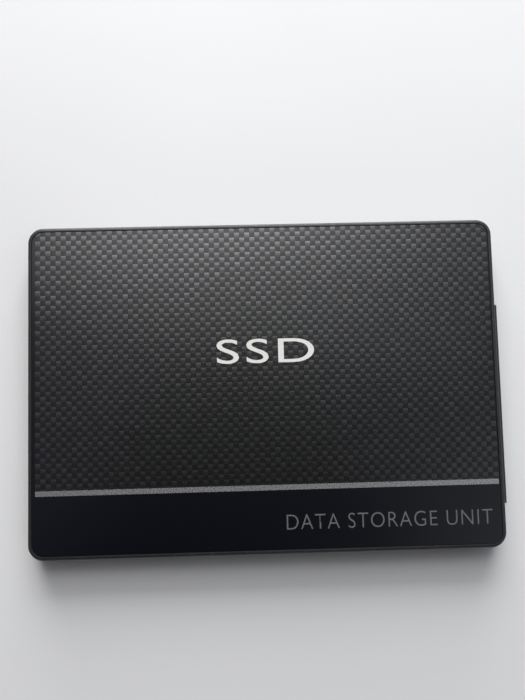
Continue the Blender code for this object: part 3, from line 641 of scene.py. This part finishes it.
def printed_words(name, words, box, material, thin, gap):
    """Plain generic words in ink, stretched to fill a box on the film. Their strokes are thinned by a
    share of the letter size, and gap spreads the letters."""
    curve = bpy.data.curves.new(name, "FONT")
    curve.body = words
    curve.size = 1.0
    curve.offset = -thin
    curve.space_character = gap
    curve.extrude = 0.5
    curve.resolution_u = 6
    made = bpy.data.objects.new(name, curve)
    bpy.context.scene.collection.objects.link(made)
    bpy.context.view_layer.update()
    depsgraph = bpy.context.evaluated_depsgraph_get()
    mesh = bpy.data.meshes.new_from_object(made.evaluated_get(depsgraph))
    bpy.data.objects.remove(made)
    bpy.data.curves.remove(curve)
    shape = bmesh.new()
    shape.from_mesh(mesh)
    bmesh.ops.remove_doubles(shape, verts=shape.verts, dist=1e-5)
    low = Vector([min(v.co[i] for v in shape.verts) for i in range(3)])
    high = Vector([max(v.co[i] for v in shape.verts) for i in range(3)])
    x0, x1, y0, y1 = box
    for v in shape.verts:
        share = [(v.co[i] - low[i]) / (high[i] - low[i]) for i in range(3)]
        x, y = x0 + (x1 - x0) * share[0], y0 + (y1 - y0) * share[1]
        v.co = Vector((x, y, FILM_TOP + INK_THICK * share[2])) * MM
    bmesh.ops.recalc_face_normals(shape, faces=shape.faces)
    shape.to_mesh(mesh)
    shape.free()
    finished_piece(name, mesh, material, "cover")


def print_face():
    """Silver stripe, plain title and plain line of words on the film."""
    level = (FILM_TOP, FILM_TOP + INK_THICK)
    stripe = slab(PRINT_BACK, PRINT_FRONT, STRIPE_LOW, STRIPE_HIGH, *level, 0.03)
    silver = screen_ink("silver_screen_ink", "ACACAD", "C8C9CA", 0.3, 0.3, 0.78)
    new_piece("silver_stripe", [stripe], silver, "cover")
    white = screen_ink("white_screen_ink", "DCDCD6", "F2F2EE", 0.3, 0.45, 0.0)
    printed_words("white_title", "SSD", TITLE_BOX, white, 0.0, 1.12)
    grey = screen_ink("grey_screen_ink", "636362", "8F9090", 0.4, 0.42, 0.35)
    printed_words("grey_line", "DATA STORAGE UNIT", LINE_BOX, grey, 0.012, 1.1)


def print_label():
    """Plain frame, rules, block and panel on the back label, with no words."""
    label_low, label_high = box_mm("back_label")
    margin, rule, rule_spacing, indent = 2.0, 0.3, 7.0, 4.0

    # Distances in from the frame's +Y side, its +X side and its -Y side
    block_top, block_foot, first_rule = 3.5, 7.5, 12.0
    rules_end, panel_left = 26.0, 21.0
    panel_foot, panel_top = 5.0, 22.0
    z0, z1 = label_low.z - INK_THICK, label_low.z
    x0, x1 = label_low.x + margin, label_high.x - margin
    y0, y1 = label_low.y + margin, label_high.y - margin
    solids = []
    for a, b in ((y0, y0 + rule), (y1 - rule, y1)):
        solids.append(slab(x0, x1, a, b, z0, z1, 0.1))
    for a, b in ((x0, x0 + rule), (x1 - rule, x1)):
        solids.append(slab(a, b, y0 + rule, y1 - rule, z0, z1, 0.1))
    for i in range(4):
        y = y1 - first_rule - rule_spacing * i
        solids.append(slab(x0 + indent, x1 - rules_end, y - rule / 2, y + rule / 2, z0, z1, 0.1))
    solids.append(slab(x0 + indent, x1 - indent, y1 - block_foot, y1 - block_top, z0, z1, 0.8))
    ink = screen_ink("grey_label_ink", "4C4D50", "5E5F62", 0.3, 0.5, 0.0)
    new_piece("label_rules", solids, ink, "base")
    pale = screen_ink("pale_label_ink", "A4A8AD", "B5B8BC", 0.3, 0.5, 0.0)
    across_panel = (x1 - panel_left, x1 - indent, y0 + panel_foot, y0 + panel_top)
    panel = slab(*across_panel, z0, z1, 1.5, steps=6)
    new_piece("label_panel", [panel], pale, "base")


# Small parts on the board ----------------------------------------------------

# Solder pads, the solder that shows past a small component's ends, and the small components' heights
PAD_TOP = BOARD_TOP + 0.05
SOLDER_REACH = 0.25
CERAMIC_TALL, RESISTOR_TALL = 0.75, 0.4


def capacitor_places():
    """Middle, X size and Y size of every small ceramic capacitor."""
    places = []
    for chip in NAND_CHIPS:
        low, high = box_mm(chip)
        y = (low.y + high.y) / 2
        places += [(-3.6, y + step, 1.0, 1.6) for step in (-3.6, -1.2, 1.2, 3.6)]
    places += [(36.6, y, 1.0, 1.6) for y in (-18.5, -16.0, -13.5)]
    places += [(30.5, y, 1.0, 1.6) for y in (6.5, 9.5)]
    places += [(x, -18.4, 1.6, 1.0) for x in (21.5, 24.5)]
    return places


def resistor_places():
    """Middle, X size and Y size of every small resistor."""
    places = [(36.6, y, 0.6, 1.0) for y in (-9.5, -7.7, -5.9, -4.1, -2.3)]
    places += [(18.2, y, 0.6, 1.0) for y in (-14.0, -12.0, -10.0, -8.0, -6.0, -4.0)]
    places += [(x, 11.9, 1.0, 0.6) for x in (24.4, 26.0, 27.6)]
    return places


def across(x, y, along, share0, share1, length, width, z0, z1, radius, edge):
    """Plate that spans part of a component's length, from share0 to share1 of its half length."""
    a, b = sorted((share0 * length / 2, share1 * length / 2))
    if along == "x":
        return slab(x + a, x + b, y - width / 2, y + width / 2, z0, z1, radius, edge)
    return slab(x - width / 2, x + width / 2, y + a, y + b, z0, z1, radius, edge)


def chip_component(x, y, size_x, size_y, height):
    """Body, plated ends and solder of a small two-ended component."""
    along = "x" if size_x > size_y else "y"
    length, width = max(size_x, size_y), min(size_x, size_y)
    top, inset = BOARD_TOP + height, 0.02
    levels = (PAD_TOP + inset, top - inset)
    body = across(x, y, along, -0.52, 0.52, length, width - 2 * inset, *levels, 0.03, 0.03)
    ends, solder = [], []
    for side in (-1, 1):
        ends.append(across(x, y, along, side * 0.5, side, length, width, PAD_TOP, top, 0.08, 0.06))
        reach = side * (1 + 2 * SOLDER_REACH / length)
        pad = (length, width + 0.2, BOARD_TOP, PAD_TOP, 0.1, 0.03)
        solder.append(across(x, y, along, side * 0.45, reach, *pad))
        solder.append(fillet(x, y, along, side, length, width, height * 0.55))
    return body, ends, solder


def fillet(x, y, along, side, length, width, height):
    """Curved ramp of solder from a pad up a plated end."""
    rings = []
    reach = 0.2
    for share in (0.0, 0.25, 0.55, 1.0):
        out = max(reach * (1 - share) ** 2, 0.015)
        half = width / 2 * (1 - 0.12 * share)
        a, b = sorted((side * (length / 2 - 0.08), side * (length / 2 + out)))
        box = (x + a, x + b, y - half, y + half)
        if along == "y":
            box = (x - half, x + half, y + a, y + b)
        rings.append((rounded_box_outline(*box, 0.02, 2), PAD_TOP + height * share))
    return stack(rings)


def small_components(tin, solder):
    """Ceramic capacitors and resistors with their ends and solder, all on the board."""
    titanate = fired_ceramic("barium_titanate_body", "A88C6C", "967A5B", 0.3)
    glaze = fired_ceramic("resistor_overglaze", "17181B", "26272B", 0.25)
    groups = (
        ("ceramic_capacitor", capacitor_places(), CERAMIC_TALL, titanate, "fuse_ceramic"),
        ("chip_resistor", resistor_places(), RESISTOR_TALL, glaze, "mould_epoxy"),
    )
    joints = []
    for name, places, height, material, slot in groups:
        bodies, ends = [], []
        for place in places:
            body, plated, soldered = chip_component(*place, height)
            bodies.append(body)
            ends += plated
            joints += soldered
        new_piece(f"{name}_bodies", bodies, material, "base")
        new_piece(f"{name}_ends", ends, tin, "base")
    new_piece("small_solder_joints", joints, solder, "base")


def wrapped_terminals(tin, solder):
    """Folded tin terminals and solder at the ends of the bulk capacitors, diodes, fuse and inductors."""
    # Names, the long axis, and the terminal's width and height as shares of the body's
    groups = (
        (BULK_CAPACITORS, "x", 0.80, 0.62),
        (DIODES, "y", 0.75, 0.55),
        (["input_fuse"], "x", 1.0, 1.0),
        (INDUCTORS, "x", 0.62, 0.45),
    )
    under, thick, spread = 0.25, 0.08, 0.45
    tin_solids, solder_solids = [], []
    for name, along, wide, tall in [(name, *sizes) for names, *sizes in groups for name in names]:
        low, high = box_mm(name)
        middle, size = (low + high) / 2, high - low
        length, width = (size.x, size.y) if along == "x" else (size.y, size.x)
        width, height = width * wide, size.z * tall
        place = (middle.x, middle.y, along)
        for side in (-1, 1):
            inner = side * (1 - 2 * under / length)
            outer = side * (1 + 2 * thick / length)
            tin_form = (length, width, PAD_TOP, low.z + height, 0.04, 0.03)
            tin_solids.append(across(*place, inner, outer, *tin_form))
            reach = side * (1 + 2 * spread / length)
            pad_form = (length, width + 0.3, BOARD_TOP, PAD_TOP, 0.12, 0.03)
            solder_solids.append(across(*place, side * 0.55, reach, *pad_form))
            solder_solids.append(fillet(*place, side, length + 2 * thick, width, height * 0.5))
    new_piece("folded_terminals", tin_solids, tin, "base")
    new_piece("terminal_solder", solder_solids, solder, "base")


def ball_rows(solder):
    """Squashed solder balls under the rim of each ball-mounted chip."""
    inset = 0.6
    profile = ((0.0, 0.15), (0.3, 0.2), (0.7, 0.2), (1.0, 0.15))
    solids = []
    for name, pitch in [(chip, 1.0) for chip in NAND_CHIPS] + [("controller_chip", 0.8)]:
        low, high = box_mm(name)
        x0, x1, y0, y1 = low.x + inset, high.x - inset, low.y + inset, high.y - inset
        across_x, across_y = round((x1 - x0) / pitch), round((y1 - y0) / pitch)
        xs = [x0 + (x1 - x0) * i / across_x for i in range(across_x + 1)]
        ys = [y0 + (y1 - y0) * i / across_y for i in range(1, across_y)]
        places = [(x, y) for x in xs for y in (y0, y1)] + [(x, y) for y in ys for x in (x0, x1)]
        for x, y in places:
            rings = []
            for share, radius in profile:
                z = BOARD_TOP + (low.z - BOARD_TOP) * share
                rings.append((round_outline(x, y, radius, 8), z))
            solids.append(stack(rings))
    new_piece("solder_balls", solids, solder, "base")


def board_legend():
    """White corner marks round the chips and power parts, and a dot at pin one of each chip."""
    z0, z1 = BOARD_TOP, BOARD_TOP + INK_THICK
    out, wide, longest_arm = 0.32, 0.15, 1.2
    solids = []
    for name in CHIPS + INDUCTORS + BULK_CAPACITORS + ["crystal_oscillator"]:
        low, high = box_mm(name)
        arm = min(longest_arm, (high.x - low.x) / 4)
        x0, x1, y0, y1 = low.x - out, high.x + out, low.y - out, high.y + out
        for x, sx in ((x0, 1), (x1, -1)):
            for y, sy in ((y0, 1), (y1, -1)):
                arm_x, wide_x = sorted((x, x + sx * arm)), sorted((x, x + sx * wide))
                wide_y, rest_y = sorted((y, y + sy * wide)), sorted((y + sy * wide, y + sy * arm))
                solids.append(slab(*arm_x, *wide_y, z0, z1, 0.04))
                solids.append(slab(*wide_x, *rest_y, z0, z1, 0.04))
    for name in CHIPS:
        low, high = box_mm(name)
        dot = round_outline(low.x - 0.75, high.y - 0.6, 0.18, 16)
        solids.append(stack([(dot, z0), (dot, z1)]))
    ink = screen_ink("white_legend_ink", "D9DAD2", "EDEDE8", 0.3, 0.55, 0.0)
    new_piece("board_legend", solids, ink, "base")


def pin_one_marks():
    """Low round marks at pin one of each chip."""
    profile = ((1.0, 0.0), (0.98, 0.012), (0.8, 0.02))
    solids = []
    for name in CHIPS:
        low, high = box_mm(name)
        size = min(high.x - low.x, high.y - low.y)
        radius, inset = size * 0.045 + 0.08, size * 0.09 + 0.25
        x, y = low.x + inset, high.y - inset
        rings = [(round_outline(x, y, radius * share, 24), high.z + rise) for share, rise in profile]
        solids.append(stack(rings))
    new_piece("pin_one_marks", solids, laser_etched_epoxy(), "base")


# Table, light and camera -----------------------------------------------------


def table_top():
    """Wide round pale table top, under the drive."""
    r = TABLE_RADIUS
    points, faces = slab(-r, r, -r, r, -TABLE_THICK, 0, radius=r - 10, edge=2, steps=24)
    mesh = bpy.data.meshes.new("table_top")
    mesh.from_pydata([tuple(value * MM for value in point) for point in points], [], faces)
    mesh.materials.append(pale_laminate_table())
    table = bpy.data.objects.new("table_top", mesh)
    bpy.context.scene.collection.objects.link(table)


def soft_panel(name, at, side, radiance, tint):
    """Square studio panel at a place in metres, turned to the drive, with the radiance of its face."""
    data = bpy.data.lights.new(name, "AREA")
    data.shape = "SQUARE"
    data.size = side
    data.color = colour(tint)[:3]
    data.energy = radiance * math.pi * side * side
    lamp = bpy.data.objects.new(name, data)
    lamp.location = at
    lamp.rotation_euler = (-at).to_track_quat("-Z", "Y").to_euler()
    lamp.visible_camera = False
    bpy.context.scene.collection.objects.link(lamp)


def from_above(polar, azimuth, distance):
    """Point seen from the drive at an angle from straight up; azimuth 0 is +X and 90 is +Y."""
    p, a = math.radians(polar), math.radians(azimuth)
    return Vector((math.sin(p) * math.cos(a), math.sin(p) * math.sin(a), math.cos(p))) * distance


# Soft patches of the room: angle from straight up, azimuth and radiance. They fade with the angle
# from their middle, faster with a greater sharpness.
ROOM_GLOWS = ((25, 90, 2.1), (35, 330, 1.0))
GLOW_SHARPNESS = 40.0

# Pale ring round the room: the heights, as the sine of the angle above the table, between which it
# fades out, and its radiance
RING_FULL, RING_GONE, RING_RADIANCE = 0.06, 0.36, 0.75

# Studio panels: name, angle from straight up, azimuth, distance and side in metres, radiance, colour
PANELS = (
    ("window_high", 35, 90, 1.0, 0.4, 3.2, "FFFFFF"),
    ("window_low", 70, 90, 1.0, 0.8, 8.6, "FFFFFF"),
    ("window_side", 40, 100, 0.35, 0.3, 0.55, "FFFFFF"),
    ("window_near", 30, 80, 0.35, 0.3, 0.2, "FFFFFF"),
    ("back_fill", 30, 150, 1.0, 0.8, 0.13, "F2EEFF"),
    ("front_fill_high", 30, 30, 0.35, 0.3, 0.07, "E4EEFF"),
    ("front_fill_low", 55, 30, 0.35, 0.3, 0.45, "E4EEFF"),
)


def room_light():
    """Dark room with a pale ring at table height and two soft glows."""
    world = bpy.data.worlds.new("soft_room")
    bpy.context.scene.world = world
    world.use_nodes = True
    tree = world.node_tree
    way = node(tree, "TexCoord")
    up = node(tree, "SeparateXYZ", (way,), out=2)
    total = node(tree, "MapRange", (up, RING_FULL, RING_GONE, RING_RADIANCE, 0.0), **SOFT)
    for polar, azimuth, radiance in ROOM_GLOWS:
        middle = from_above(polar, azimuth, 1.0)
        near = node(tree, "VectorMath", (way, middle), out=1, operation="DOT_PRODUCT")
        near = node(tree, "Math", (near, GLOW_SHARPNESS, -GLOW_SHARPNESS), operation="MULTIPLY_ADD")
        near = node(tree, "Math", (near,), operation="EXPONENT")
        total = node(tree, "Math", (near, radiance, total), operation="MULTIPLY_ADD")
    fill(tree, tree.nodes["Background"].inputs, {"Color": "FFFFFF", "Strength": total})


def studio():
    """Window-like panels behind the far long side, and weak fills."""
    room_light()
    for name, polar, azimuth, distance, side, radiance, tint in PANELS:
        soft_panel(name, from_above(polar, azimuth, distance), side, radiance, tint)


def camera():
    """Hand-held view from straight above, a little towards the near edge."""
    data = bpy.data.cameras.new("camera")
    data.lens, data.sensor_width = CAMERA_LENS, CAMERA_SENSOR
    data.clip_start, data.clip_end = CAMERA_SEES_FROM, CAMERA_SEES_TO
    seen_from = bpy.data.objects.new("camera", data)
    seen_from.location = Vector(CAMERA_AT) * MM
    seen_from.rotation_euler = [math.radians(a) for a in CAMERA_TURN]
    bpy.context.scene.collection.objects.link(seen_from)
    bpy.context.scene.camera = seen_from


def dress_packed_pieces(tin):
    """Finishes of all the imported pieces, and the radius that each one's tool leaves."""
    dress(["base_shell"], spark_textured_abs("coarse_spark_abs", "151618", "1A1B1D", 0.35, 0.5), 0.05)
    dress(["top_cover"], spark_textured_abs("fine_spark_abs", "1B1C1F", "202124", 0.22, 0.48), 0.05)
    dress(["front_film"], woven_print_film(), 0.03)
    dress(["back_label"], coated_label_paper(), 0.02)
    blocks = [f"thread_block_{end}_{side}" for end in ("front", "rear") for side in ("left", "right")]
    dress(blocks, turned_brass(), 0.06)
    dress(["connector_housing"], glass_filled_nylon(), 0.04)
    dress(numbered("data_contact", 7) + numbered("power_contact", 15), gold_flash_on_bronze(), 0.03)
    dress(["connector_clip_left", "connector_clip_right"], tin, 0.04)
    dress(numbered("board_screw", 4), zinc_on_steel(), 0.05)
    dress(["circuit_board"], solder_masked_laminate(), 0.04)
    dress(CHIPS, moulded_chip_epoxy(), 0.03)
    dress(INDUCTORS, pressed_ferrite(), 0.03)
    tantalum_ends = sorted({round(box_mm(name)[0].x, 2) for name in BULK_CAPACITORS})
    bars = [(end + 0.35, end + 0.95) for end in tantalum_ends]
    dress(BULK_CAPACITORS, moulded_tantalum_resin(bars), 0.05)
    dress(DIODES, moulded_diode_epoxy(box_mm(DIODES[0])[0].y + 0.2, 4.0), 0.04)
    dress(["input_fuse"], fired_ceramic("fuse_alumina", "E4E2D8", "CFCDC2", 0.3), 0.04)
    dress(["crystal_oscillator"], drawn_nickel_can(), 0.06)


def build_scene():
    """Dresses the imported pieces, adds the fine ones, and sets the stage."""
    tin = soft_tin("bright_tin_plate", "C3C7CB", "A3A7AB")
    solder = soft_tin("set_solder", "B9BBBC", "8F9193")
    dress_packed_pieces(tin)
    print_face()
    print_label()
    small_components(tin, solder)
    wrapped_terminals(tin, solder)
    ball_rows(solder)
    board_legend()
    pin_one_marks()
    table_top()
    studio()
    camera()
    bpy.context.scene.view_settings.view_transform = "Standard"


build_scene()
